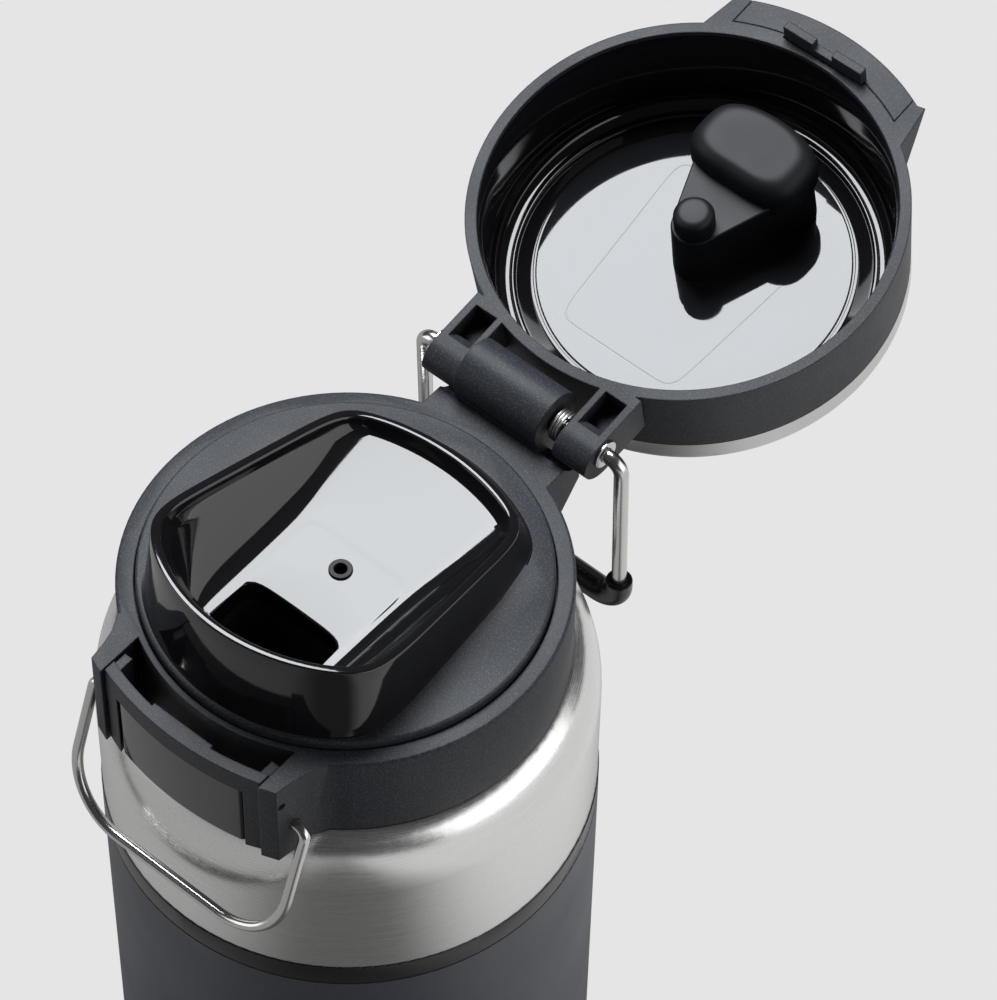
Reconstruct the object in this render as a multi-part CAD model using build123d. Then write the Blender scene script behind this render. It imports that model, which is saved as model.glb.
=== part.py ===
from build123d import *
import os
from math import atan, cos, degrees, radians, sin, sqrt, tan

os.makedirs("parts", exist_ok=True)

# ------------------------------------------------------------------
# Growler: a vacuum bottle with a screw cap, a flip-up lid with a push
# latch, and two wire loops. Millimetres. The origin is the centre of
# the foot on the ground, +Z is up, the front of the cap (the latch
# and the pouring lip) faces -Y and the lid hinge is at +Y.
# The lid is drawn closed and then swung open to its rest position.
# ------------------------------------------------------------------

# Overall sizes
collar_top = 253.0
body_radius = 61.2
collar_radius = 54.0
lid_open_angle = 170.4

# Bottle
steel_wall = 0.8
coat_thickness = 0.35
foot_edge_radius = 2.5
foot_lip = 4.0
foot_groove = 1.5
band_height = 7.4
band_depth = 0.7
shoulder_height = 50.2
shoulder_reach = 9.0
shoulder_rise = 17.0
shoulder_gap = 0.6
neck_radius = 46.5
mouth_drop = 9.0
vacuum_gap = 4.5
vessel_floor = 8.0
vessel_floor_round = 6.0
vessel_neck_wall = 1.4

# Cap collar
collar_height = 26.3
collar_wall = 3.2
deck_groove = 0.5
deck_radius = 49.2
deck_rise = 2.3
deck_drop = 3.2
flange_thickness = 1.8
web_thickness = 2.0
web_inner_radius = 44.0

# Latch housing on the front of the collar
housing_half_width = 28.6
housing_tip_y = -56.4
housing_height = 28.3
housing_relief_radius = 58.0
slot_half_width = 24.4
slot_front_y = -57.9
slot_back_radius = 51.2

# Latch button
button_gap = 0.4
button_face_radius = 80.0
button_front_y = -60.5
button_thickness = 3.0
button_arm = 2.4
button_arm_back_y = -50.0
button_height = 29.0
button_window_half_width = 19.6
button_window_top = 6.4
button_window_bottom = 27.0
panel_gap = 0.5
catch_half_width = 9.0
catch_reach = 1.4
catch_height = 2.2
pin_y = -55.0
pin_drop = 7.1
pin_radius = 1.0
pin_clearance = 0.05
spring_wire = 0.7
spring_radius = 2.6
spring_drop = 20.0

# Front loop
front_wire = 2.8
front_loop_y = -51.6
front_loop_drop = 17.4
front_loop_half_width = 33.1
front_loop_length = 38.7
front_loop_bend = 17.0
front_loop_tilt = 20.0
pivot_clearance = 0.08

# Hinge
hinge_y = 63.7
hinge_rise = 4.75
knuckle_radius = 7.8
knuckle_left = -15.0
knuckle_right = 10.6
tube_radius = 2.6
tube_bore = 1.93
tube_clearance = 0.05
ear_radius = 7.3
ear_inner = 15.3
ear_outer = 25.5
ear_wall = 1.7
bracket_half_width = 19.5
hinge_gap = 0.9
torsion_wire = 0.8
torsion_radius = 3.9

# Rear loop
rear_wire = 3.7
rear_loop_half_width = 31.0
rear_loop_length = 57.5
rear_loop_bend = 6.8
grip_radius = 3.35
grip_end_drop = 48.0
rear_loop_tilt = -1.8

# Spout
rim_rise = 16.6
rim_slope = 0.22
rim_front = 44.8
rim_back = 39.4
rim_half_front = 34.5
rim_half_back = 30.0
base_front = 48.3
base_back = 43.0
base_half_front = 36.8
base_half_back = 33.3
half_width_at = 22.0
rim_width = 2.8
floor_rise = 3.2
floor_half_front = 17.2
floor_half_back = 15.2
floor_front = 38.0
floor_back = 6.0
spigot_inset = 2.0
spigot_gap = 0.05
pour_half_width = 14.5
pour_back_y = -17.0
pour_front_y = -35.0
pour_corner = 6.0
vent_y = -1.8
vent_radius = 1.5
grommet_radius = 2.9
grommet_rise = 0.6

# Stopper under the cap
stopper_gap = 0.5
stopper_depth = 26.0
gasket_thickness = 1.9

# Lid
lid_gap = 0.3
lid_radius = 54.4
lid_inner_radius = 51.5
lid_skirt = 22.5
lid_roof = 25.0
lid_top = 32.3
lid_draft = 0.6
top_cap_round = 5.0
liner_wall = 1.2
liner_gap = 0.05
liner_floor = 28.0
liner_thickness = 1.2
plate_radius = 39.5
plate_thickness = 1.2
bead_radius = 45.2
bead_size = 0.9
nose_radius = 62.5
nose_half_angle = 25.5
nose_height = 15.0
insert_half_width = 25.1
insert_inner_radius = 55.6
insert_height = 9.0
hook_half_width = 12.0
hook_notch_half_width = 3.0
hook_drop = 4.4
hook_front_y = -55.4
hook_back_y = -53.2

# Plug on the lid plate
plug_nose_y = -2.0
plug_nose_radius = 6.0
plug_body_front_y = -34.0
plug_body_half_width = 15.0
plug_body_bottom = 10.5
plug_taper = 1.6
pad_play = 0.7
pad_bottom = 2.4
pad_height = 8.0
nub_radius = 4.4
nub_bottom = 4.4

hinge_z = collar_top + hinge_rise
hinge_axis = Axis((0, hinge_y, hinge_z), (1, 0, 0))
band_top = collar_top - 26.3 - shoulder_height
band_bottom = band_top - band_height


# ------------------------------------------------------------------
# Shared shapes
# ------------------------------------------------------------------
def disc(radius, low, high):
    """Upright cylinder on the bottle's centre line."""
    return Pos(0, 0, (low + high) / 2) * Cylinder(radius, high - low)


def ring(outer, inner, low, high):
    """Upright ring on the bottle's centre line."""
    return disc(outer, low, high) - disc(inner, low - 1, high + 1)


def cross_rod(radius, left, right, y, z):
    """Cylinder lying along X."""
    rod = Cylinder(radius, right - left)
    return Pos((left + right) / 2, y, z) * Rot(0, 90, 0) * rod


def box_between(left, right, front, back, low, high):
    """Block given by its six faces."""
    block = Box(right - left, back - front, high - low)
    return Pos((left + right) / 2, (front + back) / 2, (low + high) / 2) * block


def both_sides(shape):
    """The shape and its mirror image across the bottle's middle plane."""
    return shape + mirror(shape, Plane.YZ)


def side_profile(points, left, right):
    """Prism along X from a (y, z) outline."""
    outline = Plane.YZ * make_face(Polyline(*points, close=True))
    return Pos(left, 0, 0) * extrude(outline, right - left, dir=(1, 0, 0))


def turned(points):
    """Solid turned round the bottle's centre line from an (r, z) outline."""
    outline = Plane.XZ * make_face(Polyline(*points, close=True))
    return revolve(outline, Axis.Z)


def open_lid(shape):
    """Swing a piece of the lid from closed to its rest position."""
    return shape.rotate(hinge_axis, -lid_open_angle)


# ------------------------------------------------------------------
# Bottle
# ------------------------------------------------------------------
def bottle_outline(inset, bottom, neck, top):
    """Half outline of a bottle wall, moved inward by inset."""
    radius = body_radius - inset
    centre_r = body_radius - shoulder_reach
    centre_z = collar_top - collar_height - shoulder_gap - shoulder_rise
    steps = [radians(15 * step) for step in range(7)]
    curve = [(centre_r + (shoulder_reach - inset) * cos(turn),
              centre_z + (shoulder_rise - inset) * sin(turn)) for turn in steps]
    shoulder = Spline(*curve, tangents=[(0, 1), (-1, 0)])
    end_r, end_z = curve[-1]
    rest = Polyline((end_r, end_z), (neck, end_z + 1.4), (neck, top), (0, top),
                    (0, bottom), (radius, bottom), (radius, centre_z))
    return make_face(Plane.XZ * (shoulder + rest))


def make_outer_shell():
    """Spun steel outer wall with the shoulder, the neck and a turned-in foot lip."""
    mouth = collar_top - mouth_drop - steel_wall
    shell = revolve(bottle_outline(0, 0, neck_radius, mouth), Axis.Z)
    foot = shell.edges().filter_by(GeomType.CIRCLE).sort_by(Axis.Z)[0]
    shell = fillet(foot, foot_edge_radius)
    shell -= revolve(bottle_outline(steel_wall, steel_wall, neck_radius - steel_wall, mouth + 1), Axis.Z)
    shell -= disc(body_radius - foot_lip, -1, steel_wall + 1)
    groove = ring(body_radius + 5, body_radius - band_depth, band_bottom, band_top)
    groove_wall = ring(body_radius - band_depth, body_radius - band_depth - steel_wall,
                       band_bottom - steel_wall, band_top + steel_wall)
    return shell - groove + groove_wall


def make_base_disc():
    """Steel disc that closes the vacuum jacket, its middle pressed down flush with the foot."""
    radius = body_radius - steel_wall - 0.1
    pressed = body_radius - foot_lip - foot_groove
    base = disc(radius, steel_wall, 2 * steel_wall) + disc(pressed, 0, steel_wall)
    return base - disc(pressed - steel_wall, steel_wall, 3 * steel_wall)


def make_inner_vessel():
    """Steel inner vessel with its neck and the lip welded over the outer neck."""
    inset = steel_wall + vacuum_gap
    mouth = collar_top - mouth_drop
    neck = neck_radius - steel_wall - vessel_neck_wall
    vessel = revolve(bottle_outline(inset, vessel_floor, neck, mouth), Axis.Z)
    floor = vessel.edges().filter_by(GeomType.CIRCLE).sort_by(Axis.Z)[0]
    vessel = fillet(floor, vessel_floor_round + steel_wall)
    hollow = revolve(bottle_outline(inset + steel_wall, vessel_floor + steel_wall,
                                    neck - steel_wall, mouth + 1), Axis.Z)
    corner = hollow.edges().filter_by(GeomType.CIRCLE).sort_by(Axis.Z)[0]
    hollow = fillet(corner, vessel_floor_round)
    lip = ring(neck_radius, neck - 0.2, mouth - steel_wall, mouth)
    return vessel + lip - hollow


def make_body_coat():
    """Powder coat on the lower part of the outer wall."""
    low = foot_edge_radius
    return ring(body_radius + coat_thickness, body_radius, low, band_bottom)


def make_shoulder_band():
    """Black band in the groove between the coat and the bare shoulder."""
    band = ring(body_radius + coat_thickness - 0.05, body_radius - band_depth, band_bottom, band_top)
    rims = band.edges().filter_by(GeomType.CIRCLE).sort_by(SortBy.RADIUS)[-2:]
    return fillet(rims, 0.5)


# ------------------------------------------------------------------
# Cap: collar, deck and stopper
# ------------------------------------------------------------------
def housing_outline():
    """Plan of the latch housing that flares out of the collar."""
    points = [(-32.6, -43.0), (-30.3, -47.6), (-29.3, -51.6), (-housing_half_width, housing_tip_y)]
    points += [(-slot_half_width - 0.3, slot_front_y)]
    points += [(-x, y) for x, y in reversed(points)]
    return make_face(Polyline(*points, (0, -30), close=True))


def make_collar():
    """Moulded collar with the latch housing, the hinge bracket and the knuckle."""
    low = collar_top - collar_height
    recess = collar_top - deck_drop - flange_thickness
    body = disc(collar_radius, low, collar_top)
    rim = body.edges().filter_by(GeomType.CIRCLE).sort_by(Axis.Z)[-1]
    body = fillet(rim, 0.8)
    housing_low = collar_top - housing_height
    housing = extrude(Pos(0, 0, housing_low) * housing_outline(), housing_height)
    housing -= disc(housing_relief_radius, housing_low - 1, low)
    slot = box_between(-slot_half_width, slot_half_width, -80, -40, housing_low - 1, collar_top + 1)
    slot -= disc(slot_back_radius, housing_low - 2, collar_top + 2)
    bracket_points = [(45, collar_top), (60.5, collar_top), (62.4, collar_top - 8.1)]
    bracket_points += [(53.0, collar_top - 19.5), (45, collar_top - 19.5)]
    bracket = side_profile(bracket_points, -bracket_half_width, bracket_half_width)
    ear_room = cross_rod(knuckle_radius + 0.8, -40, knuckle_left, hinge_y, hinge_z)
    ear_room += cross_rod(knuckle_radius + 0.8, knuckle_right, 40, hinge_y, hinge_z)
    knuckle = cross_rod(knuckle_radius, knuckle_left, knuckle_right, hinge_y, hinge_z)
    web = box_between(knuckle_left, knuckle_right, 52, hinge_y, collar_top - 6, collar_top + 2.5)
    web -= box_between(-40, 40, 40, 56.9, collar_top, collar_top + 9)
    collar = body + housing - slot + (bracket - ear_room) + knuckle + web
    collar -= disc(deck_radius + deck_groove, recess, collar_top + 1)
    collar -= disc(web_inner_radius, low - 5, collar_top)
    collar -= disc(collar_radius - collar_wall, housing_low - 1, recess - web_thickness)
    pin_z = collar_top - pin_drop
    collar -= cross_rod(pin_radius + pin_clearance, -40, 40, pin_y, pin_z)
    loop_z = collar_top - front_loop_drop
    for side in (-1, 1):
        near, far = sorted((side * (slot_half_width + 0.8), side * 40))
        collar -= cross_rod(front_wire / 2 + pivot_clearance, near, far, front_loop_y, loop_z)
    collar -= cross_rod(tube_radius + tube_clearance, -40, 40, hinge_y, hinge_z)
    return collar


def rounded_d(front, back, half_front, half_back, corner):
    """Spout outline: arcs at front and back, straight sides that taper."""
    taper = (half_front - half_back) / (2 * half_width_at)
    middle = (half_front + half_back) / 2

    def meet(radius, sign):
        """Where a side line crosses the circle of the given radius."""
        a = 1 + taper ** 2
        b = -2 * middle * taper
        c = middle ** 2 - radius ** 2
        y = (-b + sign * sqrt(b ** 2 - 4 * a * c)) / (2 * a)
        return middle - taper * y, y

    front_x, front_y = meet(front, -1)
    back_x, back_y = meet(back, 1)
    front_arc = ThreePointArc((-front_x, front_y), (0, -front), (front_x, front_y))
    right_side = Line((front_x, front_y), (back_x, back_y))
    back_arc = ThreePointArc((back_x, back_y), (0, back), (-back_x, back_y))
    left_side = Line((-back_x, back_y), (-front_x, front_y))
    face = make_face(front_arc + right_side + back_arc + left_side)
    return fillet(face.vertices(), corner)


def spout_base(inset):
    """Outline of the spout where it stands on the deck, moved inward."""
    return rounded_d(base_front - inset, base_back - inset,
                     base_half_front - inset, base_half_back - inset, 8.0 - inset / 2)


def spout_rim(inset):
    """Outline of the spout's rim in its own sloping plane, moved inward."""
    stretch = sqrt(1 + rim_slope ** 2)
    face = rounded_d(rim_front * stretch - inset, rim_back * stretch - inset,
                     rim_half_front - inset, rim_half_back - inset, 11.0 - inset / 2)
    plane = Plane(origin=(0, 0, collar_top + rim_rise), x_dir=(1, 0, 0), z_dir=(0, rim_slope, 1))
    return plane * face


def floor_outline():
    """Flat tongue at the bottom of the spout bowl."""
    points = [(-floor_half_front, -floor_front), (floor_half_front, -floor_front)]
    points += [(floor_half_back, floor_back), (-floor_half_back, floor_back)]
    face = make_face(Polyline(*points, close=True))
    return fillet(face.vertices(), 5.0)


def pour_outline(grow):
    """Outline of the pouring opening."""
    width = 2 * (pour_half_width + grow)
    length = pour_back_y - pour_front_y + 2 * grow
    face = RectangleRounded(width, length, pour_corner + grow)
    return Pos(0, (pour_front_y + pour_back_y) / 2, 0) * face


def pour_hole(grow, low, high):
    """The pouring opening as a prism."""
    return extrude(Pos(0, 0, low) * pour_outline(grow), high - low)


def make_deck():
    """Round textured deck inside the collar, cut out for the spout."""
    low = collar_top - deck_drop
    deck = disc(deck_radius, low, collar_top + deck_rise)
    rim = deck.edges().filter_by(GeomType.CIRCLE).sort_by(Axis.Z)[-1]
    deck = fillet(rim, 0.7)
    return deck - extrude(Pos(0, 0, low - 1) * spout_base(spigot_inset), deck_drop + deck_rise + 2)


def make_spout():
    """Glossy pouring spout: a bowl with a high lip at the front."""
    foot = collar_top + deck_rise
    bowl = loft([Pos(0, 0, foot) * spout_base(0), spout_rim(0)])
    spigot_low = collar_top - deck_drop
    spigot = extrude(Pos(0, 0, spigot_low) * spout_base(spigot_inset + spigot_gap), foot - spigot_low + 0.5)
    floor = collar_top + floor_rise
    cavity = loft([Pos(0, 0, floor) * floor_outline(), spout_rim(rim_width)])
    cavity += extrude(spout_rim(rim_width), 6)
    spout = bowl + spigot - cavity
    spout -= pour_hole(0, spigot_low - 1, floor + 6)
    spout -= Pos(0, vent_y, 0) * disc(grommet_radius, floor - 1.6, floor + 2)
    return spout - Pos(0, vent_y, 0) * disc(vent_radius, spigot_low - 1, floor + 2)


def make_vent_grommet():
    """Rubber ring round the vent hole in the spout floor."""
    floor = collar_top + floor_rise
    return Pos(0, vent_y, 0) * ring(grommet_radius, vent_radius, floor - 1.6, floor + grommet_rise)


def make_stopper():
    """Hidden foam-filled stopper that closes the neck, with the pouring and vent ducts."""
    radius = neck_radius - steel_wall - vessel_neck_wall - steel_wall - stopper_gap
    top = collar_top - deck_drop
    low = collar_top - stopper_depth
    body = disc(radius, low, top) + disc(deck_radius - 0.3, top - flange_thickness, top)
    stopper = body - pour_hole(0, low - 1, top + 1)
    return stopper - Pos(0, vent_y, 0) * disc(vent_radius, low - 1, top + 1)


def make_neck_gasket():
    """Flat silicone gasket between the cap and the bottle's mouth."""
    inner = neck_radius - steel_wall - vessel_neck_wall - steel_wall - stopper_gap
    high = collar_top - deck_drop - flange_thickness - web_thickness
    return ring(neck_radius, inner, high - gasket_thickness, high)


# ------------------------------------------------------------------
# Latch button
# ------------------------------------------------------------------
def button_slab(outer_offset, thickness, low, high):
    """Bowed slab that follows the button's front face."""
    centre_y = button_front_y + button_face_radius
    outer = Cylinder(button_face_radius + outer_offset, high - low)
    inner = Cylinder(button_face_radius + outer_offset - thickness, high - low + 2)
    slab = Pos(0, centre_y, (low + high) / 2) * (outer - inner)
    return slab & box_between(-60, 60, -70, -40, low - 1, high + 1)


def make_button_frame():
    """Latch button: a bowed frame with two arms that turn on the pin."""
    low = collar_top - button_height
    half = slot_half_width - button_gap
    slab = button_slab(0, button_thickness, low, collar_top)
    slab &= box_between(-half, half, -70, -40, low, collar_top)
    arm = box_between(half - button_arm, half, -57.0, button_arm_back_y, collar_top - 12, collar_top - 0.9)
    window = box_between(-button_window_half_width, button_window_half_width, -70, -40,
                         low - 1, collar_top - button_window_top)
    bridge = button_slab(-1.6, button_thickness - 1.6, low + 2, collar_top - button_window_top + 1)
    bridge &= box_between(-button_window_half_width - 1, button_window_half_width + 1, -70, -40, low, collar_top)
    frame = slab - window + bridge + both_sides(arm)
    catch_back = button_front_y + button_thickness + catch_reach
    catch = box_between(-catch_half_width, catch_half_width, button_front_y + 1, catch_back,
                        collar_top - catch_height, collar_top)
    frame += catch
    inner_edge = button_front_y + 1.9
    foot = [(inner_edge, low - 1), (inner_edge, low), (-53.8, low + 3.6), (-40, low + 3.6), (-40, low - 1)]
    frame -= side_profile(foot, -half, half)
    frame -= cross_rod(pin_radius + pin_clearance, -40, 40, pin_y, collar_top - pin_drop)
    return frame


def make_button_panel():
    """Glossy push panel set into the button's frame."""
    half = button_window_half_width - panel_gap
    low = collar_top - button_height + 1.2
    high = collar_top - button_window_top - 0.3
    panel = button_slab(-0.2, 1.4, low, high) & box_between(-half, half, -70, -40, low, high)
    uprights = panel.edges().filter_by(Axis.Z)
    front_pair = uprights.sort_by(Axis.Y)[:2]
    return fillet(front_pair, 1.2)


def make_button_pin():
    """Steel pin the button turns on, held in the housing's cheeks."""
    reach = housing_half_width - 0.6
    return cross_rod(pin_radius, -reach, reach, pin_y, collar_top - pin_drop)


def coil(radius, pitch, turns, wire):
    """Round wire wound round the Z axis, starting at height 0."""
    path = Helix(pitch, pitch * turns, radius)
    start = Plane(origin=path @ 0, z_dir=path % 0)
    return sweep(start * Circle(wire / 2), path)


def make_button_spring():
    """Compression spring between the collar and the lower half of the button."""
    front = button_front_y + button_thickness + 0.1
    back = -slot_back_radius - 0.1
    length = back - front - spring_wire
    turns = 3.5
    wound = coil(spring_radius, length / turns, turns, spring_wire)
    return Pos(0, front + spring_wire / 2, collar_top - spring_drop) * Rot(-90, 0, 0) * wound


# ------------------------------------------------------------------
# Wire loops
# ------------------------------------------------------------------
def loop_path(half_width, length, bend, shoulder, pivot_inner, leg_start=None):
    """Right half of a wire loop drawn in XY, hanging towards -Y."""
    low_leg = (half_width, bend - length)
    if leg_start is None:
        pivot = Line((pivot_inner, 0), (half_width - shoulder, 0))
        turn = JernArc(pivot @ 1, pivot % 1, shoulder, -90)
        upper = pivot + turn + Line(turn @ 1, low_leg)
    else:
        upper = Line((half_width, -leg_start), low_leg)
    low_turn = JernArc(low_leg, (0, -1), bend, -90)
    return upper + low_turn + Line(low_turn @ 1, (0, -length))


def swept_loop(path, start, direction, radius, tilt, y, z):
    """Round bar along a loop path and its mirror, tilted and hung at its pivot."""
    profile = Plane(origin=start, z_dir=direction) * Circle(radius)
    half = sweep(profile, path=path)
    hung = Rot(90 - tilt, 0, 0) * (half + mirror(half, Plane.YZ))
    return Pos(0, y, z) * hung


def make_front_loop():
    """Steel wire loop that hangs from the cheeks of the latch housing."""
    inner = slot_half_width + 1.2
    path = loop_path(front_loop_half_width, front_loop_length, front_loop_bend, 2.6, inner)
    return swept_loop(path, (inner, 0, 0), (1, 0, 0), front_wire / 2, front_loop_tilt,
                      front_loop_y, collar_top - front_loop_drop)


def make_rear_wire():
    """Steel wire of the carrying loop, its ends held in the hinge tube."""
    inner = ear_inner + 3.0
    path = loop_path(rear_loop_half_width, rear_loop_length, rear_loop_bend, 4.0, inner)
    return swept_loop(path, (inner, 0, 0), (1, 0, 0), rear_wire / 2, rear_loop_tilt, hinge_y, hinge_z)


def make_rear_grip():
    """Black rubber tube on the bar and the two lower corners of the carrying loop."""
    path = loop_path(rear_loop_half_width, rear_loop_length, rear_loop_bend, 4.0, 0, grip_end_drop)
    start = (rear_loop_half_width, -grip_end_drop, 0)
    sleeve = swept_loop(path, start, (0, -1, 0), grip_radius, rear_loop_tilt, hinge_y, hinge_z)
    core = swept_loop(path, start, (0, -1, 0), rear_wire / 2, rear_loop_tilt, hinge_y, hinge_z)
    return sleeve - core


# ------------------------------------------------------------------
# Hinge hardware
# ------------------------------------------------------------------
def make_hinge_tube():
    """Steel tube rivet through the ears and the knuckle, flared at both ends."""
    reach = ear_outer + 0.8
    tube = cross_rod(tube_radius, -reach, reach, hinge_y, hinge_z)
    for side in (-1, 1):
        near, far = sorted((side * ear_outer, side * reach))
        tube += cross_rod(tube_radius + 1.1, near, far, hinge_y, hinge_z)
    return tube - cross_rod(tube_bore, -40, 40, hinge_y, hinge_z)


def make_torsion_spring():
    """Spring wound round the hinge tube between the knuckle and the right ear."""
    room = ear_inner - knuckle_right
    turns = 3.5
    rise = room - 2 * torsion_wire
    wound = coil(torsion_radius, rise / turns, turns, torsion_wire)
    return Pos(knuckle_right + torsion_wire, hinge_y, hinge_z) * Rot(0, 90, 0) * wound


# ------------------------------------------------------------------
# Lid, drawn closed
# ------------------------------------------------------------------
def ear_profile():
    """Side view of one hinge ear: flat underneath, round at the back."""
    low = collar_top + lid_gap
    top = hinge_z + ear_radius
    back = hinge_y + ear_radius
    slant = ear_radius * sin(radians(45))
    floor = Line((49.0, low), (hinge_y + 1.3, low))
    heel = ThreePointArc(floor @ 1, (hinge_y + 5.6, low + 1.7), (back, hinge_z + 0.4))
    crown = ThreePointArc(heel @ 1, (hinge_y + slant, hinge_z + slant), (hinge_y, top))
    roof = Line(crown @ 1, (49.0, top))
    front = Line(roof @ 1, floor @ 0)
    return Plane.YZ * make_face(floor + heel + crown + roof + front)


def make_ear():
    """Right hinge ear with its open pocket, drawn closed."""
    low = collar_top + lid_gap
    ear = Pos(ear_inner, 0, 0) * extrude(ear_profile(), ear_outer - ear_inner, dir=(1, 0, 0))
    pocket = [(52.0, low - 1), (62.6, low - 1), (62.6, low), (60.2, low + 2.2), (60.2, low + 7.0), (52.0, low + 7.0)]
    return ear - side_profile(pocket, ear_inner + ear_wall, ear_outer - ear_wall - 0.3)


def nose_plan():
    """Plan of the flange over the latch, with its two corner tips."""
    half = nose_radius * sin(radians(nose_half_angle))
    front_y = -nose_radius * cos(radians(nose_half_angle))
    left = Polyline((-half, front_y), (-29.0, -56.9), (-30.9, -44.6), (0, -30))
    right = Polyline((0, -30), (30.9, -44.6), (29.0, -56.9), (half, front_y))
    return make_face(left + right + ThreePointArc((half, front_y), (0, -nose_radius), (-half, front_y)))


def make_nose():
    """Flange over the latch, leaning back into the lid's skirt."""
    low = collar_top + lid_gap
    prism = extrude(Pos(0, 0, low) * nose_plan(), nose_height)
    lean = Cone(nose_radius + 1.6, lid_radius - lid_draft, nose_height)
    return prism & (Pos(0, 0, low + nose_height / 2) * lean)


def insert_block(grow):
    """Block that holds the latch insert, grown by a seam gap."""
    low = collar_top + lid_gap
    half = insert_half_width + grow
    block = box_between(-half, half, -80, -40, low - 1, low + insert_height + grow)
    return block - disc(insert_inner_radius - grow, low - 2, low + insert_height + 3)


def hook_root(grow):
    """Top part of the striker hook where it sits in the rim."""
    low = collar_top + lid_gap
    half = hook_half_width + grow
    return box_between(-half, half, -58.5 - grow, hook_back_y + grow, low, low + 3.0 + grow)


def make_latch_insert():
    """Front block of the lid with the striker hook that drops into the slot."""
    low = collar_top + lid_gap
    block = make_nose() & insert_block(0)
    hook = hook_root(0) + box_between(-hook_half_width, hook_half_width, hook_front_y, hook_back_y,
                                      low - hook_drop, low)
    notch = box_between(-hook_notch_half_width, hook_notch_half_width, -70, -40,
                        low - hook_drop - 1, low - hook_drop + 2.2)
    return block + hook - notch


def make_lid_shell():
    """Moulded lid ring with the hinge ears and the flange over the latch."""
    low = collar_top + lid_gap
    skirt = collar_top + lid_skirt
    ledge = lid_radius - lid_draft - 1.2
    roof = collar_top + lid_top - 1.3
    points = [(0, low), (lid_radius, low), (lid_radius - lid_draft, skirt), (ledge, skirt)]
    points += [(ledge, roof - 2.0), (ledge - 2.0, roof), (0, roof)]
    shell = turned(points) + both_sides(make_ear()) + make_nose()
    shell -= disc(lid_inner_radius, low - 1, collar_top + liner_floor + liner_thickness)
    shell -= insert_block(0.2)
    shell -= hook_root(0.2)
    return shell - cross_rod(tube_radius, -40, 40, hinge_y, hinge_z)


def make_top_cap():
    """Dished steel disc on top of the lid."""
    outer = lid_radius - lid_draft
    low = collar_top + lid_skirt + 0.3
    high = collar_top + lid_top
    dish = disc(outer, low, high)
    dish = fillet(dish.edges().filter_by(GeomType.CIRCLE).sort_by(Axis.Z)[-1], top_cap_round)
    room = disc(outer - steel_wall, low - 1, high - steel_wall)
    room = fillet(room.edges().filter_by(GeomType.CIRCLE).sort_by(Axis.Z)[-1], top_cap_round - steel_wall)
    return dish - room


def make_lid_liner():
    """Glossy cup inside the lid with a bead ring round the plate."""
    outer = lid_inner_radius - liner_gap
    low = collar_top + lid_gap + 1.2
    floor = collar_top + liner_floor
    cup = disc(outer, low, floor + liner_thickness - liner_gap) - disc(outer - liner_wall, low - 1, floor)
    bead = Pos(0, 0, floor) * Torus(bead_radius, bead_size)
    return cup + (bead & disc(outer, floor - 5, floor + 0.5))


def make_lid_plate():
    """Mirror-bright plate in the middle of the lid."""
    floor = collar_top + liner_floor
    return disc(plate_radius, floor - plate_thickness, floor)


def make_plug_body():
    """Rubber post on the plate, triangular with round corners."""
    high = collar_top + liner_floor - plate_thickness
    low = collar_top + plug_body_bottom
    corner = plug_nose_radius + 0.4
    corner_y = plug_body_front_y + corner + 1.0
    corner_x = plug_body_half_width - corner + 0.6
    circles = Pos(0, plug_nose_y) * Circle(plug_nose_radius)
    circles += Pos(corner_x, corner_y) * Circle(corner)
    circles += Pos(-corner_x, corner_y) * Circle(corner)
    outline = make_hull(circles.edges())
    return extrude(Pos(0, 0, low) * outline, high - low, taper=-plug_taper)


def make_pour_pad():
    """Oblong pad that closes the pouring opening."""
    low = collar_top + pad_bottom
    pad = pour_hole(-pad_play, low, collar_top + plug_body_bottom)
    return fillet(pad.edges().group_by(Axis.Z)[0], 4.0)


def make_vent_nub():
    """Small round button that closes the vent hole."""
    low = collar_top + nub_bottom
    nub = Pos(0, plug_nose_y, 0) * disc(nub_radius, low, collar_top + plug_body_bottom)
    return fillet(nub.edges().filter_by(GeomType.CIRCLE).sort_by(Axis.Z)[0], 1.6)


parts = {
    "outer_shell": make_outer_shell(),
    "base_disc": make_base_disc(),
    "inner_vessel": make_inner_vessel(),
    "body_coat": make_body_coat(),
    "shoulder_band": make_shoulder_band(),
    "collar": make_collar(),
    "deck": make_deck(),
    "spout": make_spout(),
    "vent_grommet": make_vent_grommet(),
    "stopper": make_stopper(),
    "neck_gasket": make_neck_gasket(),
    "button_pin": make_button_pin(),
    "button_frame": make_button_frame(),
    "button_panel": make_button_panel(),
    "button_spring": make_button_spring(),
    "front_loop": make_front_loop(),
    "rear_wire": make_rear_wire(),
    "rear_grip": make_rear_grip(),
    "hinge_tube": open_lid(make_hinge_tube()),
    "torsion_spring": make_torsion_spring(),
    "lid_shell": open_lid(make_lid_shell()),
    "latch_insert": open_lid(make_latch_insert()),
    "top_cap": open_lid(make_top_cap()),
    "lid_liner": open_lid(make_lid_liner()),
    "lid_plate": open_lid(make_lid_plate()),
    "plug_body": open_lid(make_plug_body()),
    "pour_pad": open_lid(make_pour_pad()),
    "vent_nub": open_lid(make_vent_nub()),
}

for name, shape in parts.items():
    export_step(shape, f"parts/{name}.step")
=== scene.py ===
from math import atan2, cos, pi, radians, sin, sqrt

import bmesh
import bpy
from mathutils import Matrix, Vector


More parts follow.
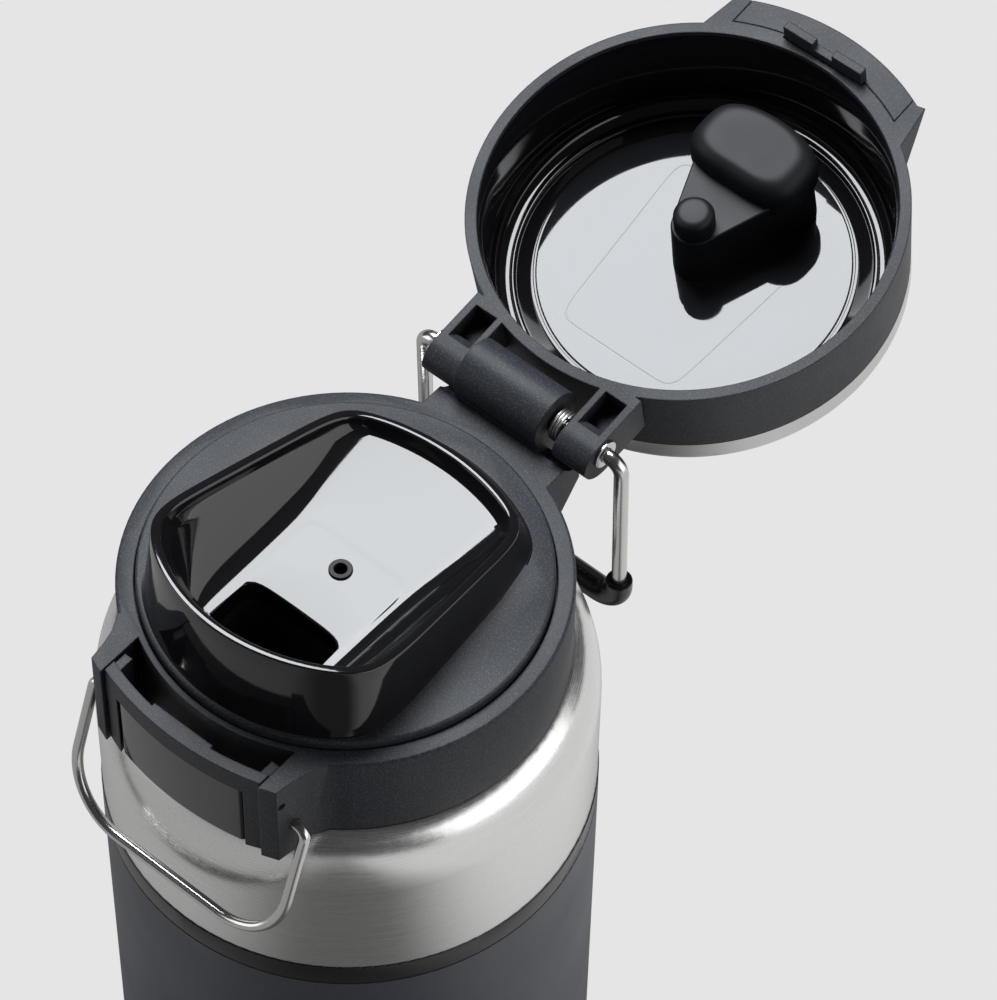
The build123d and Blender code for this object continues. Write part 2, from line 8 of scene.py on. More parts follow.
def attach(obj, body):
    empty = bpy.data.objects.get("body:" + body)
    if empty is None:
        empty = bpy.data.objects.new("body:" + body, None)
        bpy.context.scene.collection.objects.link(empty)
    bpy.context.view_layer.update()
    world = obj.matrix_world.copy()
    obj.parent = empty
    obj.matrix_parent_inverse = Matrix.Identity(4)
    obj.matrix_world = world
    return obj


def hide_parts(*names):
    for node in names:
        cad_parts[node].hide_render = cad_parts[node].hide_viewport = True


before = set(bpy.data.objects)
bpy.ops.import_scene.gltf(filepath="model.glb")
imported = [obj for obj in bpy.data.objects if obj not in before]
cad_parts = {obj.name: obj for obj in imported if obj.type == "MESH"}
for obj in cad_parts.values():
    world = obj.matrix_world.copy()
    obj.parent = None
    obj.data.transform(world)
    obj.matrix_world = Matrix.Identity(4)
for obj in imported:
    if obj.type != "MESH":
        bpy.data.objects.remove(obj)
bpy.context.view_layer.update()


# ------------------------------------------------------------------
# Studio: a long lens looking down on the cap and a pale floor that shows no
# shadows. One softbox hangs behind on the left, a wide one stands on the
# right and a small one in front on the left.
# ------------------------------------------------------------------
def place_camera():
    azimuth, elevation, roll = radians(39.35), radians(53.45), radians(1.16)
    back = Vector((sin(azimuth) * cos(elevation), -cos(azimuth) * cos(elevation), sin(elevation)))
    level = Vector((cos(azimuth), sin(azimuth), 0))
    up = back.cross(level)
    right = cos(roll) * level + sin(roll) * up
    up = cos(roll) * up - sin(roll) * level
    focal, distance = 4.6946, 1.09861
    collar_centre = Vector((0, 0, 0.253))
    place = collar_centre - distance * (-0.15254 / focal * right - 0.07317 / focal * up - back)
    data = bpy.data.cameras.new("camera")
    data.sensor_width = 36.0
    data.lens = 36.0 * focal
    data.clip_start = 0.05
    data.clip_end = 50.0
    camera = bpy.data.objects.new("camera", data)
    turn = Matrix((right, up, back)).transposed()
    camera.matrix_world = Matrix.Translation(place) @ turn.to_4x4()
    bpy.context.collection.objects.link(camera)
    bpy.context.scene.camera = camera


def softbox(name, place, aim, width, height, power, color=(1, 1, 1)):
    data = bpy.data.lights.new(name, "AREA")
    data.shape = "RECTANGLE"
    data.size = width
    data.size_y = height
    data.energy = power
    data.color = color
    light = bpy.data.objects.new(name, data)
    light.location = place
    light.rotation_euler = (Vector(aim) - Vector(place)).to_track_quat("-Z", "Y").to_euler()
    bpy.context.collection.objects.link(light)


def lay_floor(level, dark, sides):
    """Pale paper to the eye. As a light it is dark in front and rises at the (start, end, rise) sides."""
    across_view = (0.773, 0.634, 0.0)
    mesh = bpy.data.meshes.new("studio_floor")
    bm = bmesh.new()
    bmesh.ops.create_grid(bm, x_segments=1, y_segments=1, size=6.0)
    bm.to_mesh(mesh)
    bm.free()
    floor = bpy.data.objects.new("studio_floor", mesh)
    bpy.context.collection.objects.link(floor)
    material = bpy.data.materials.new("backdrop_paper")
    material.use_nodes = True
    nodes, links = material.node_tree.nodes, material.node_tree.links
    seen = nodes.new("ShaderNodeEmission")
    seen.inputs["Color"].default_value = (level, level, level, 1)
    bounced = nodes.new("ShaderNodeEmission")
    place = nodes.new("ShaderNodeTexCoord")
    aside = nodes.new("ShaderNodeVectorMath")
    aside.operation = "DOT_PRODUCT"
    aside.inputs[1].default_value = across_view
    links.new(place.outputs["Object"], aside.inputs[0])
    total = None
    for start, end, rise in sides:
        part = nodes.new("ShaderNodeMapRange")
        part.interpolation_type = "SMOOTHSTEP"
        part.inputs["From Min"].default_value = start
        part.inputs["From Max"].default_value = end
        part.inputs["To Max"].default_value = rise
        links.new(aside.outputs["Value"], part.inputs["Value"])
        join = nodes.new("ShaderNodeMath")
        join.inputs[1].default_value = dark
        links.new(part.outputs["Result"], join.inputs[0])
        if total:
            links.new(total, join.inputs[1])
        total = join.outputs[0]
    links.new(total, bounced.inputs["Strength"])
    path = nodes.new("ShaderNodeLightPath")
    mix = nodes.new("ShaderNodeMixShader")
    links.new(path.outputs["Is Camera Ray"], mix.inputs[0])
    links.new(bounced.outputs[0], mix.inputs[1])
    links.new(seen.outputs[0], mix.inputs[2])
    links.new(mix.outputs[0], nodes["Material Output"].inputs["Surface"])
    mesh.materials.append(material)


def hang_backdrop(level, dim):
    world = bpy.data.worlds.new("studio")
    world.use_nodes = True
    bpy.context.scene.world = world
    nodes, links = world.node_tree.nodes, world.node_tree.links
    seen = nodes.new("ShaderNodeBackground")
    seen.inputs["Color"].default_value = (level, level, level, 1)
    unlit = nodes["Background"]
    unlit.inputs["Color"].default_value = (dim, dim, dim * 1.1, 1)
    path = nodes.new("ShaderNodeLightPath")
    mix = nodes.new("ShaderNodeMixShader")
    links.new(path.outputs["Is Camera Ray"], mix.inputs[0])
    links.new(unlit.outputs[0], mix.inputs[1])
    links.new(seen.outputs[0], mix.inputs[2])
    links.new(mix.outputs[0], nodes["World Output"].inputs["Surface"])


paper_level = 0.783
place_camera()
lay_floor(paper_level, 0.13, ((-0.05, -0.17, 0.34), (0.05, 0.18, 0.70)))
hang_backdrop(paper_level, 0.06)
softbox("key_softbox", (-0.56, 0.46, 1.45), (0, 0.03, 0.26), 0.85, 0.85, 36.0, (0.93, 0.965, 1.0))
softbox("side_softbox", (1.35, 0.45, 0.75), (0, 0, 0.24), 1.9, 1.2, 13.0)
softbox("left_softbox", (-1.05, -0.85, 0.55), (0, 0, 0.22), 0.8, 1.1, 5.0)
bpy.context.scene.view_settings.view_transform = "Standard"


# ------------------------------------------------------------------
# Steel bottle: outer wall, base disc and inner vessel. Spun stainless steel,
# brushed round the axis, welded to each other at the foot and at the mouth.
# ------------------------------------------------------------------
def new_material(name, color, roughness, metallic=0.0):
    material = bpy.data.materials.new(name)
    material.use_nodes = True
    shader = material.node_tree.nodes["Principled BSDF"]
    shader.inputs["Base Color"].default_value = (*color, 1)
    shader.inputs["Roughness"].default_value = roughness
    shader.inputs["Metallic"].default_value = metallic
    return material


def add_node(tree, kind, **settings):
    node = tree.nodes.new(kind)
    for key, value in settings.items():
        setattr(node, key, value)
    return node


def new_group(name, inputs, outputs):
    """Node group with float inputs (name: default) and outputs (name: socket type)."""
    tree = bpy.data.node_groups.new(name, "ShaderNodeTree")
    for label, default in inputs.items():
        socket = tree.interface.new_socket(name=label, in_out="INPUT", socket_type="NodeSocketFloat")
        socket.default_value = default
    for label, kind in outputs.items():
        tree.interface.new_socket(name=label, in_out="OUTPUT", socket_type=kind)
    entry = tree.nodes.new("NodeGroupInput")
    leave = tree.nodes.new("NodeGroupOutput")
    return tree, entry, leave


def scaled_noise(tree, vector, scale, detail):
    noise = add_node(tree, "ShaderNodeTexNoise")
    noise.inputs["Detail"].default_value = detail
    noise.inputs["Scale"].default_value = scale
    tree.links.new(vector, noise.inputs["Vector"])
    return noise.outputs["Fac"]


def ranged(tree, value, low, high, out_low, out_high):
    step = add_node(tree, "ShaderNodeMapRange")
    step.inputs["From Min"].default_value = low
    step.inputs["From Max"].default_value = high
    step.inputs["To Min"].default_value = out_low
    step.inputs["To Max"].default_value = out_high
    tree.links.new(value, step.inputs["Value"])
    return step.outputs["Result"]


def math_step(tree, operation, first, second):
    step = add_node(tree, "ShaderNodeMath", operation=operation)
    for socket, value in zip(step.inputs, (first, second)):
        if isinstance(value, (int, float)):
            socket.default_value = value
        else:
            tree.links.new(value, socket)
    return step.outputs[0]


def make_turned_brushing():
    """Fine lines that run round the Z axis, broken into short strokes."""
    inputs = {"Across": 9000.0, "Along": 5.0}
    tree, entry, leave = new_group("turned_brushing", inputs, {"Lines": "NodeSocketFloat"})
    place = add_node(tree, "ShaderNodeTexCoord")
    split = add_node(tree, "ShaderNodeSeparateXYZ")
    tree.links.new(place.outputs["Object"], split.inputs[0])
    angle = math_step(tree, "ARCTAN2", split.outputs["Y"], split.outputs["X"])
    squares = [math_step(tree, "POWER", split.outputs[side], 2.0) for side in ("X", "Y")]
    reach = math_step(tree, "POWER", math_step(tree, "ADD", *squares), 0.5)
    along = math_step(tree, "MULTIPLY", angle, entry.outputs["Along"])
    across = math_step(tree, "MULTIPLY", split.outputs["Z"], entry.outputs["Across"])
    inward = math_step(tree, "MULTIPLY", reach, entry.outputs["Across"])
    join = add_node(tree, "ShaderNodeCombineXYZ")
    tree.links.new(along, join.inputs["X"])
    tree.links.new(across, join.inputs["Y"])
    tree.links.new(inward, join.inputs["Z"])
    tree.links.new(scaled_noise(tree, join.outputs[0], 1.0, 3.0), leave.inputs["Lines"])
    return tree


def make_brushed_steel(name, color, roughness, spread):
    material = new_material(name, color, roughness, 1.0)
    tree = material.node_tree
    shader = tree.nodes["Principled BSDF"]
    brushing = add_node(tree, "ShaderNodeGroup", node_tree=turned_brushing)
    shade = add_node(tree, "ShaderNodeMix", data_type="RGBA", blend_type="MULTIPLY")
    shade.inputs["A"].default_value = (*color, 1)
    shade.inputs["Factor"].default_value = 1.0
    tint = add_node(tree, "ShaderNodeCombineColor")
    tone = ranged(tree, brushing.outputs["Lines"], 0.3, 0.7, 0.92, 1.04)
    for channel in ("Red", "Green", "Blue"):
        tree.links.new(tone, tint.inputs[channel])
    tree.links.new(tint.outputs[0], shade.inputs["B"])
    tree.links.new(shade.outputs["Result"], shader.inputs["Base Color"])
    rough = ranged(tree, brushing.outputs["Lines"], 0.3, 0.7, roughness - spread, roughness + spread)
    tree.links.new(rough, shader.inputs["Roughness"])
    bump = add_node(tree, "ShaderNodeBump")
    bump.inputs["Strength"].default_value = 0.35
    bump.inputs["Distance"].default_value = 0.00001
    tree.links.new(brushing.outputs["Lines"], bump.inputs["Height"])
    tree.links.new(bump.outputs[0], shader.inputs["Normal"])
    shader.inputs["Anisotropic"].default_value = 0.3
    place = add_node(tree, "ShaderNodeTexCoord")
    round_axis = add_node(tree, "ShaderNodeVectorMath", operation="CROSS_PRODUCT")
    round_axis.inputs[0].default_value = (0, 0, 1)
    tree.links.new(place.outputs["Object"], round_axis.inputs[1])
    tree.links.new(round_axis.outputs[0], shader.inputs["Tangent"])
    return material


def smooth_copy(node, name, edge=0.0, segments=2, sharp=32.0):
    """Copy of a CAD piece with its facets joined, smooth shading and its sharp edges rounded."""
    bm = bmesh.new()
    bm.from_mesh(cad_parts[node].data)
    bmesh.ops.remove_doubles(bm, verts=bm.verts, dist=0.000003)
    bmesh.ops.dissolve_degenerate(bm, dist=0.000002, edges=bm.edges)
    bmesh.ops.dissolve_limit(bm, angle_limit=radians(0.4), verts=bm.verts, edges=bm.edges)
    bmesh.ops.recalc_face_normals(bm, faces=bm.faces)
    for face in bm.faces:
        face.smooth = True
    for side in bm.edges:
        side.smooth = side.calc_face_angle(0.0) < radians(sharp)
    mesh = bpy.data.meshes.new(name)
    bm.to_mesh(mesh)
    bm.free()
    piece = bpy.data.objects.new(name, mesh)
    bpy.context.collection.objects.link(piece)
    if edge:
        rounding = piece.modifiers.new("broken_edges", "BEVEL")
        rounding.width = edge
        rounding.segments = segments
        rounding.limit_method = "ANGLE"
        rounding.angle_limit = radians(sharp)
        rounding.harden_normals = True
        rounding.use_clamp_overlap = True
    return piece


def fit_piece(piece, body, slot, material, *nodes):
    """Give a finished piece its material and its place among the moving bodies."""
    piece.data.materials.clear()
    piece.data.materials.append(material)
    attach(piece, body)
    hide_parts(*nodes)


def dress(node, material):
    """Give a carried-over CAD piece its material."""
    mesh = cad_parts[node].data
    mesh.materials.clear()
    mesh.materials.append(material)


turned_brushing = make_turned_brushing()
brushed_steel = make_brushed_steel("brushed_steel", (0.70, 0.695, 0.68), 0.27, 0.06)
satin_steel = make_brushed_steel("satin_steel", (0.55, 0.55, 0.54), 0.36, 0.05)
fit_piece(smooth_copy("outer_shell", "bottle_wall"), "bottle", "brushed_steel_shoulder",
          brushed_steel, "outer_shell")
dress("base_disc", satin_steel)
dress("inner_vessel", satin_steel)


# ------------------------------------------------------------------
# Powder coat on the lower body, and the black band in the groove above it.
# The coat is a fine sprayed layer; the band is moulded and slightly glossy.
# ------------------------------------------------------------------
def make_grain():
    """Fine moulded or sprayed grain: a height and a mask of the high points, which the material paints
    lighter as a painted highlight.
    """
    outputs = {"Height": "NodeSocketFloat", "Painted_highlight": "NodeSocketFloat", "Dust": "NodeSocketFloat"}
    tree, entry, leave = new_group("fine_grain", {"Scale": 3000.0}, outputs)
    place = add_node(tree, "ShaderNodeTexCoord")
    fine = add_node(tree, "ShaderNodeTexNoise")
    fine.inputs["Detail"].default_value = 2.0
    fine.inputs["Roughness"].default_value = 0.6
    tree.links.new(place.outputs["Object"], fine.inputs["Vector"])
    tree.links.new(entry.outputs["Scale"], fine.inputs["Scale"])
    tree.links.new(fine.outputs["Fac"], leave.inputs["Height"])
    # mask of the grain's high points, used for a painted highlight on the peaks
    tree.links.new(ranged(tree, fine.outputs["Fac"], 0.52, 0.72, 0.0, 1.0), leave.inputs["Painted_highlight"])
    patches = scaled_noise(tree, place.outputs["Object"], 35.0, 4.0)
    tree.links.new(ranged(tree, patches, 0.35, 0.75, 0.0, 1.0), leave.inputs["Dust"])
    return tree


def make_grained(name, color, light, roughness, scale, depth, painted_highlight, gloss=0.35, round_edge=0.0):
    """Matte material with fine grain: high points painted lighter as a painted highlight on the grain, and
    faint patches of handling.
    """
    material = new_material(name, color, roughness)
    tree = material.node_tree
    shader = tree.nodes["Principled BSDF"]
    grain = add_node(tree, "ShaderNodeGroup", node_tree=fine_grain)
    grain.inputs["Scale"].default_value = scale
    mix = add_node(tree, "ShaderNodeMix", data_type="RGBA")
    mix.inputs["A"].default_value = (*color, 1)
    mix.inputs["B"].default_value = (*light, 1)
    # painted highlight: the high points of the grain are mixed towards the lighter colour
    tree.links.new(math_step(tree, "MULTIPLY", grain.outputs["Painted_highlight"], painted_highlight), mix.inputs["Factor"])
    tree.links.new(mix.outputs["Result"], shader.inputs["Base Color"])
    tree.links.new(ranged(tree, grain.outputs["Dust"], 0.0, 1.0, roughness - 0.04, roughness + 0.05),
                   shader.inputs["Roughness"])
    bump = add_node(tree, "ShaderNodeBump")
    bump.inputs["Strength"].default_value = 0.6
    bump.inputs["Distance"].default_value = depth
    tree.links.new(grain.outputs["Height"], bump.inputs["Height"])
    shader.inputs["Specular IOR Level"].default_value = gloss
    if round_edge:
        soft = add_node(tree, "ShaderNodeBevel", samples=6)
        soft.inputs["Radius"].default_value = round_edge
        tree.links.new(soft.outputs[0], bump.inputs["Normal"])
    tree.links.new(bump.outputs[0], shader.inputs["Normal"])
    return material


fine_grain = make_grain()
powder_coat = make_grained("powder_coat", (0.034, 0.040, 0.054), (0.060, 0.068, 0.085), 0.50,
                           2200.0, 0.00004, 0.6, 0.5)
band_rubber = make_grained("band_rubber", (0.010, 0.010, 0.011), (0.02, 0.02, 0.021), 0.30, 900.0,
                           0.00002, 0.4)
fit_piece(smooth_copy("body_coat", "body_coat_layer"), "bottle", "powder_coat", powder_coat, "body_coat")
fit_piece(smooth_copy("shoulder_band", "shoulder_ring"), "bottle", "band_rubber", band_rubber,
          "shoulder_band")


# ------------------------------------------------------------------
# Cap collar with the latch housing and the hinge knuckle. Injection moulded
# in dark plastic with a fine spark-eroded texture; the deck drops into it.
# ------------------------------------------------------------------
charcoal = make_grained("textured_charcoal", (0.017, 0.019, 0.024), (0.075, 0.083, 0.100), 0.52,
                        2600.0, 0.00005, 0.7, 0.24, 0.0005)
fit_piece(smooth_copy("collar", "collar_moulding"), "cap", "textured_charcoal", charcoal, "collar")
fit_piece(smooth_copy("deck", "deck_moulding"), "cap", "textured_charcoal", charcoal, "deck")

stopper_plastic = make_grained("stopper_plastic", (0.02, 0.02, 0.021), (0.03, 0.03, 0.03), 0.5,
                               1500.0, 0.00003, 0.3)
clear_silicone = make_grained("clear_silicone", (0.45, 0.46, 0.46), (0.55, 0.56, 0.56), 0.45,
                              1200.0, 0.00002, 0.4)
clear_silicone.node_tree.nodes["Principled BSDF"].inputs["Subsurface Weight"].default_value = 0.3
dress("stopper", stopper_plastic)
dress("neck_gasket", clear_silicone)


# ------------------------------------------------------------------
# Pouring spout: one glossy black moulding, a bowl with a rounded rim that
# is high at the front and low at the back. It stands on the deck.
# ------------------------------------------------------------------
def make_polished(name, color, roughness, wave):
    """Polished plastic: faint waviness from the mould and patches of wiping."""
    material = new_material(name, color, roughness)
    tree = material.node_tree
    shader = tree.nodes["Principled BSDF"]
    place = add_node(tree, "ShaderNodeTexCoord")
    slow = scaled_noise(tree, place.outputs["Object"], 28.0, 1.0)
    smear = scaled_noise(tree, place.outputs["Object"], 90.0, 5.0)
    tree.links.new(ranged(tree, smear, 0.35, 0.8, roughness, roughness + 0.05), shader.inputs["Roughness"])
    bump = add_node(tree, "ShaderNodeBump")
    bump.inputs["Strength"].default_value = 1.0
    bump.inputs["Distance"].default_value = wave
    tree.links.new(slow, bump.inputs["Height"])
    tree.links.new(bump.outputs[0], shader.inputs["Normal"])
    return material


def d_shape(front, back, half_front, half_back):
    """Distance from the middle to a rounded D outline, as a function of the direction."""
    lean = (half_back - half_front) / 44.0
    waist = (half_front + half_back) / 2
    back_centre = back - 54.0

    def reach(turn):
        c, s = abs(cos(turn)), sin(turn)
        side = waist / max(c - lean * s, 0.001)
        arc = front
        if s > 0:
            arc = s * back_centre + sqrt(54.0 ** 2 - (back_centre * c) ** 2)
        return (side ** -15 + arc ** -15) ** (-1 / 15)
    return reach


def box_shape(half_width, half_length, power):
    """The same for a rounded rectangle."""
    def reach(turn):
        side = half_width / max(abs(cos(turn)), 0.001)
        end = half_length / max(abs(sin(turn)), 0.001)
        return (side ** -power + end ** -power) ** (-1 / power)
    return reach


def lay_skin(bm, places, steps=144):
    """Tube skin through closed loops, whose points are place(direction) in millimetres."""
    turn = bm.verts.layers.float.get("turn") or bm.verts.layers.float.new("turn")
    made = bmesh.ops.create_circle(bm, cap_ends=False, segments=steps, radius=1.0)
    for vert in made["verts"]:
        vert[turn] = atan2(vert.co.y, vert.co.x)
        vert.co = Vector(places[0](vert[turn])) * 0.001
    first = list({side for vert in made["verts"] for side in vert.link_edges})
    last = first
    for place in places[1:]:
        grown = bmesh.ops.extrude_edge_only(bm, edges=last)["geom"]
        points = {vert for vert in grown if isinstance(vert, bmesh.types.BMVert)}
        for vert in points:
            vert.co = Vector(place(vert[turn])) * 0.001
        edges = [side for side in grown if isinstance(side, bmesh.types.BMEdge)]
        last = [side for side in edges if set(side.verts) <= points]
    return first, last


collar_top = 253.0


def build_spout():
    deck_top, floor, ledge, low = 255.3, 256.2, 256.38, 249.8
    rim_front, rim_back, rim_half_front, rim_half_back = 45.0, 39.6, 34.9, 29.9
    base_front, base_back, base_half_front, base_half_back = 48.1, 42.8, 36.8, 33.1

    def rim_height(y):
        return 269.5 - 0.22 * y

    def wall(share, inset, drop):
        """Loop on the outer wall: share 0 is the foot, 1 the rim."""
        ease = share ** 0.75
        sizes = [a + (b - a) * ease - inset for a, b in (
            (base_front, rim_front), (base_back, rim_back),
            (base_half_front, rim_half_front), (base_half_back, rim_half_back))]
        outline = d_shape(*sizes)

        def place(turn):
            x, y = outline(turn) * cos(turn), outline(turn) * sin(turn)
            top = rim_height(y) - drop
            return x, y, deck_top + (top - deck_top) * share
        return place

    tongue = box_shape(16.4, 22.0, 9.0)

    def bowl(share):
        """Loop inside the bowl: share 0 is under the rim, 1 the edge of the flat floor."""
        top = wall(1.0, 4.6, 4.2)

        def place(turn):
            x, y, z = top(turn)
            reach = tongue(turn)
            flat_x, flat_y = reach * cos(turn), reach * sin(turn) - 16.0
            depth = (1 - share) ** 1.7
            return x + (flat_x - x) * share, y + (flat_y - y) * share, ledge + (z - ledge) * depth
        return place

    def flat(outline, middle, height, grow=0.0):
        def place(turn):
            reach = outline(turn) + grow
            return reach * cos(turn), middle + reach * sin(turn), height
        return place

    spigot = d_shape(base_front - 2.1, base_back - 2.1, base_half_front - 2.1, base_half_back - 2.1)
    opening = box_shape(14.5, 9.0, 6.0)
    vent = box_shape(1.5, 1.5, 2.0)
    bm = bmesh.new()
    outside = [flat(spigot, 0, low), flat(spigot, 0, deck_top)]
    outside += [wall(share, 0, 0.6) for share in (0.0, 0.04, 0.1, 0.2, 0.35, 0.55, 0.8, 1.0)]
    rim = [wall(1.0, inset, drop) for inset, drop in (
        (0.06, 0.35), (0.22, 0.14), (0.5, 0.0), (1.9, 0.0),
        (2.25, 0.14), (2.5, 0.45), (2.7, 0.9), (3.5, 2.6))]
    inside = [bowl(share) for share in (0, 0.05, 0.12, 0.2, 0.3, 0.42, 0.55, 0.7, 0.85, 0.95, 1.0)]
    inside += [flat(tongue, -16.0, height, grow) for grow, height in (
        (-0.4, ledge - 0.02), (-0.8, ledge - 0.07),
        (-1.2, floor + 0.05), (-1.6, floor + 0.01), (-2.0, floor))]
    skin = lay_skin(bm, outside + rim + inside)
    duct = lay_skin(bm, [flat(opening, -26.0, height, grow) for height, grow in (
        (floor, 0.6), (floor - 0.12, 0.3), (floor - 0.35, 0.08), (floor - 0.7, 0.0), (low, 0.0))], 64)
    hole = lay_skin(bm, [flat(vent, -1.8, height) for height in (floor, low)], 32)
    bmesh.ops.triangle_fill(bm, use_beauty=True, edges=skin[1] + duct[0] + hole[0], normal=(0, 0, 1))
    bmesh.ops.triangle_fill(bm, use_beauty=True, edges=skin[0] + duct[1] + hole[1], normal=(0, 0, -1))
    return finish_mesh(bm, "pouring_spout", 40.0)


def finish_mesh(bm, name, sharp):
    """Turn a built shape into an object with outward normals and smooth shading."""
    bmesh.ops.recalc_face_normals(bm, faces=bm.faces)
    for face in bm.faces:
        face.smooth = True
    for side in bm.edges:
        side.smooth = side.calc_face_angle(0.0) < radians(sharp)
    mesh = bpy.data.meshes.new(name)
    bm.to_mesh(mesh)
    bm.free()
    piece = bpy.data.objects.new(name, mesh)
    bpy.context.collection.objects.link(piece)
    return piece


gloss_black = make_polished("gloss_black", (0.006, 0.006, 0.007), 0.05, 0.0002)
soft_rubber = make_grained("soft_rubber", (0.006, 0.007, 0.009), (0.014, 0.016, 0.020), 0.52,
                           1400.0, 0.00002, 0.4, 0.25)
fit_piece(build_spout(), "cap", "gloss_black", gloss_black, "spout")
fit_piece(smooth_copy("vent_grommet", "vent_ring", 0.0003), "cap", "soft_black", soft_rubber,
          "vent_grommet")


# ------------------------------------------------------------------
# Latch button: a textured frame that turns on a steel pin, with a glossy
# panel snapped into its window and a small spring behind it.
# ------------------------------------------------------------------
def make_wire(name, color, roughness):
    """Drawn steel: faint tone changes and fine scratches."""
    material = new_material(name, color, roughness, 1.0)
    tree = material.node_tree
    shader = tree.nodes["Principled BSDF"]
    place = add_node(tree, "ShaderNodeTexCoord")
    scratches = scaled_noise(tree, place.outputs["Object"], 2500.0, 3.0)
    tree.links.new(ranged(tree, scratches, 0.3, 0.7, roughness - 0.03, roughness + 0.05),
                   shader.inputs["Roughness"])
    bump = add_node(tree, "ShaderNodeBump")
    bump.inputs["Strength"].default_value = 0.25
    bump.inputs["Distance"].default_value = 0.00002
    tree.links.new(scratches, bump.inputs["Height"])
    tree.links.new(bump.outputs[0], shader.inputs["Normal"])
    return material


bright_wire = make_wire("bright_wire", (0.55, 0.54, 0.525), 0.20)
fit_piece(smooth_copy("button_frame", "latch_button"), "button", "textured_charcoal", charcoal,
          "button_frame")
fit_piece(smooth_copy("button_panel", "latch_panel", 0.0003), "button", "gloss_black", gloss_black,
          "button_panel")
dress("button_pin", bright_wire)
dress("button_spring", satin_steel)


# ------------------------------------------------------------------
# Front loop: bright steel wire bent to a wide U, its ends in the cheeks of
# the latch housing.
# ------------------------------------------------------------------
fit_piece(smooth_copy("front_loop", "front_wire"), "front_loop", "bright_wire", bright_wire, "front_loop")


# ------------------------------------------------------------------
# Lid: moulded ring with two hinge ears, a striker insert at the front and a
# steel cap on top. It is swung open.
# ------------------------------------------------------------------
fit_piece(smooth_copy("lid_shell", "lid_moulding"), "lid", "textured_charcoal", charcoal, "lid_shell")
fit_piece(smooth_copy("latch_insert", "striker_insert"), "lid", "textured_charcoal", charcoal,
          "latch_insert")
fit_piece(smooth_copy("top_cap", "lid_steel_cap"), "lid", "cap_steel", satin_steel, "top_cap")


# ------------------------------------------------------------------
# Inside of the lid: a glossy cup with a bead ring, and the mirror-bright
# plate in its middle that carries the plug.
# ------------------------------------------------------------------
plate_gloss = make_polished("plate_gloss", (0.012, 0.013, 0.016), 0.03, 0.00005)
hinge = Vector((0, 0.0637, 0.25775))
open_angle = 170.4


def swing_open(bm):
    """Turn what was drawn on the closed lid to where the open lid holds it."""
    turn = Matrix.Rotation(radians(-open_angle), 4, "X")
    about = Matrix.Translation(hinge) @ turn @ Matrix.Translation(-hinge)
    bmesh.ops.transform(bm, matrix=about, verts=bm.verts)


def lathe(profile, steps=160):
    """Closed solid turned round the Z axis from (radius, height) points in millimetres."""
    bm = bmesh.new()
    points = [bm.verts.new((r * 0.001, 0, (collar_top + z) * 0.001)) for r, z in profile]
    sides = [bm.edges.new(pair) for pair in zip(points, points[1:])]
    bmesh.ops.spin(bm, geom=points + sides, cent=(0, 0, 0), axis=(0, 0, 1), angle=2 * pi, steps=steps,
                   use_merge=True)
    bmesh.ops.remove_doubles(bm, verts=bm.verts, dist=0.000001)
    return bm


def arc(centre_r, centre_z, radius, start, end, steps):
    turns = [radians(start + (end - start) * step / steps) for step in range(steps + 1)]
    return [(centre_r + radius * cos(turn), centre_z + radius * sin(turn)) for turn in turns]


def build_cup():
    wall = [(0, 29.1), (51.4, 29.1), (51.4, 1.7), (51.1, 1.6), (50.7, 3.4), (50.45, 6.0), (50.1, 10.0)]
    corner = arc(46.1, 24.0, 4.0, 0, 90, 10)
    bead = arc(45.2, 28.0, 0.9, 0, -180, 10)
    ledge = [(43.9, 27.95), (41.2, 27.1), (40.6, 26.95), (40.1, 26.95), (39.9, 27.2), (0, 27.2)]
    bm = lathe(wall + corner + bead + ledge)
    swing_open(bm)
    return finish_mesh(bm, "lid_cup", 50.0)


def build_plate():
    edge = arc(39.1, 27.2, 0.4, 0, -90, 5)
    bm = lathe([(0, 28.0), (39.5, 28.0)] + edge + [(30.0, 26.8), (0, 26.8)])

    def ridge(grow, height):
        def place(turn):
            reach = outline(turn) + grow
            y = reach * sin(turn)
            return reach * cos(turn) * (1 - 0.004 * y), 4.0 + y, collar_top + height
        return place

    outline = box_shape(20.0, 27.0, 12.0)
    section = ((0.3, 26.9), (0.2, 26.71), (-0.2, 26.71), (-0.3, 26.9), (0.3, 26.9))
    lay_skin(bm, [ridge(*step) for step in section], 160)
    bmesh.ops.remove_doubles(bm, verts=bm.verts, dist=0.000001)
    swing_open(bm)
    return finish_mesh(bm, "lid_mirror_plate", 50.0)


fit_piece(build_cup(), "lid", "gloss_black", gloss_black, "lid_liner")
fit_piece(build_plate(), "lid", "plate_gloss", plate_gloss, "lid_plate")


# ------------------------------------------------------------------
# Rubber plug on the plate: a three-cornered post with an oblong pad for the
# pouring opening and a round button for the vent.
# ------------------------------------------------------------------
fit_piece(smooth_copy("plug_body", "plug_post", 0.0016, 4), "lid", "soft_black", soft_rubber, "plug_body")


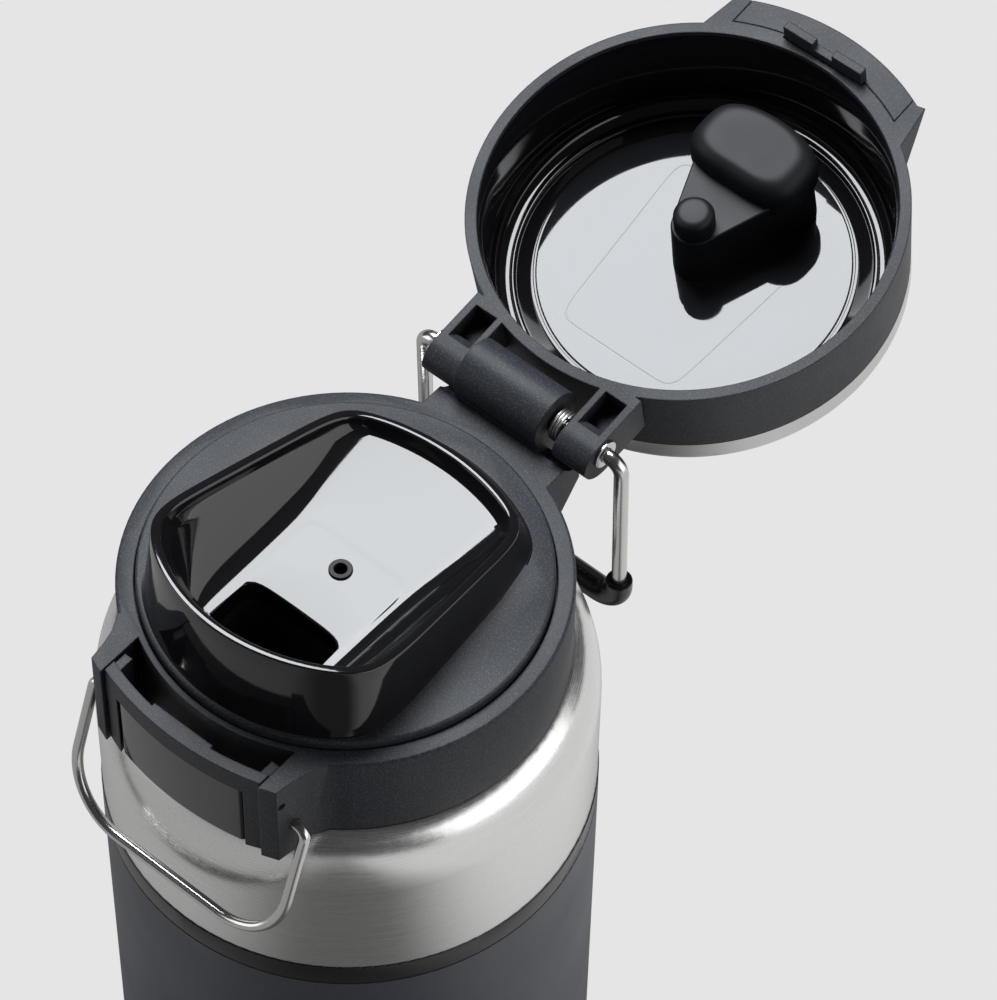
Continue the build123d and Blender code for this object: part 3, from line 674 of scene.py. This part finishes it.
def build_pad():
    """Pillow with a full round all over, its foot sunk into the post."""
    bm = bmesh.new()
    outline = box_shape(16.4, 10.8, 2.9)
    middle, curve = -26.0, 0.9

    def layer(inset, height):
        def place(turn):
            reach = outline(turn) * (1 - inset)
            bow = curve * cos(turn) ** 2
            return reach * cos(turn), middle + reach * sin(turn) + bow, collar_top + height
        return place

    turns = [radians(90.0 * step / 8) for step in range(9)]
    dome = [layer(0.34 * (1 - cos(turn)), 9.4 - 5.85 * sin(turn)) for turn in turns]
    crown = [layer(inset, height) for inset, height in ((0.42, 3.52), (0.6, 3.42), (0.75, 3.4))]
    foot, top = lay_skin(bm, [layer(0.0, 12.5)] + dome + crown, 96)
    bmesh.ops.triangle_fill(bm, use_beauty=True, edges=foot)
    bmesh.ops.triangle_fill(bm, use_beauty=True, edges=top)
    swing_open(bm)
    return finish_mesh(bm, "plug_pad", 60.0)


fit_piece(build_pad(), "lid", "soft_black", soft_rubber, "pour_pad")


def build_nub():
    """Round button with a domed end, its foot sunk into the post."""
    profile = [(0, 12.0), (5.2, 12.0)] + arc(2.9, 6.9, 2.3, 0, -90, 8) + [(1.4, 4.5), (0, 4.45)]
    bm = lathe(profile, 64)
    bmesh.ops.transform(bm, matrix=Matrix.Translation((0, -0.002, 0)), verts=bm.verts)
    swing_open(bm)
    return finish_mesh(bm, "plug_vent_button", 60.0)


fit_piece(build_nub(), "lid", "soft_black", soft_rubber, "vent_nub")


# ------------------------------------------------------------------
# Hinge hardware: a flared steel tube through the ears and the knuckle, and
# the torsion spring that throws the lid open.
# ------------------------------------------------------------------
fit_piece(smooth_copy("hinge_tube", "hinge_rivet", 0.0002), "lid", "bright_wire", bright_wire, "hinge_tube")
fit_piece(smooth_copy("torsion_spring", "lid_spring"), "lid", "plain_steel", satin_steel, "torsion_spring")


# ------------------------------------------------------------------
# Carrying loop: thick steel wire in the ends of the hinge tube, with a
# black rubber grip over its bar and lower corners.
# ------------------------------------------------------------------
grip_rubber = make_grained("grip_rubber", (0.008, 0.008, 0.009), (0.016, 0.016, 0.018), 0.28, 700.0,
                           0.00002, 0.4)
fit_piece(smooth_copy("rear_wire", "carry_wire"), "carry_loop", "bright_wire", bright_wire, "rear_wire")
fit_piece(smooth_copy("rear_grip", "carry_grip", 0.0004, 3), "carry_loop", "band_rubber",
          grip_rubber, "rear_grip")
